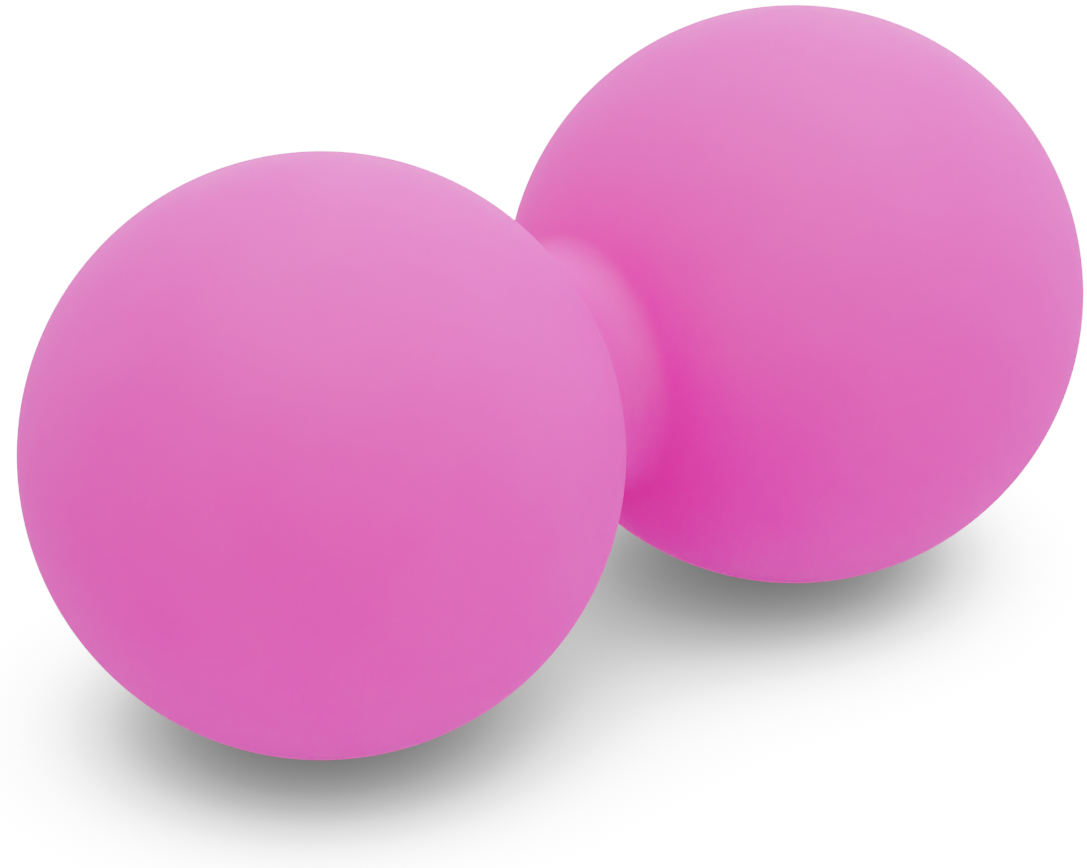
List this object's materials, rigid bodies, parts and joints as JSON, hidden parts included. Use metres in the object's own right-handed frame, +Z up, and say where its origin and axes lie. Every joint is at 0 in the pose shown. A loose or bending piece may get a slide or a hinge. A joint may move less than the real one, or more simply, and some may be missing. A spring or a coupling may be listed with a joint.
{
  "type": "peanut massage ball",
  "caption": "Peanut-shaped massage ball: equal rubber spheres moulded in one piece with a short filleted neck, leaving a groove that clears the spine.",
  "frame": {"origin": "middle of the neck, on the long axis, which is also the centre of the whole part", "axes": "+X along the long axis from one ball's centre to the other's, +Z up as the part lies on a floor, +Y across it"},
  "size_m": [0.127, 0.0634, 0.0634],
  "materials": {
    "pink_rubber": "matte, velvety silicone-like rubber, coloured right through"
  },
  "bodies": {
    "root": {"peanut_ball": "pink_rubber"}
  },
  "joints": []
}
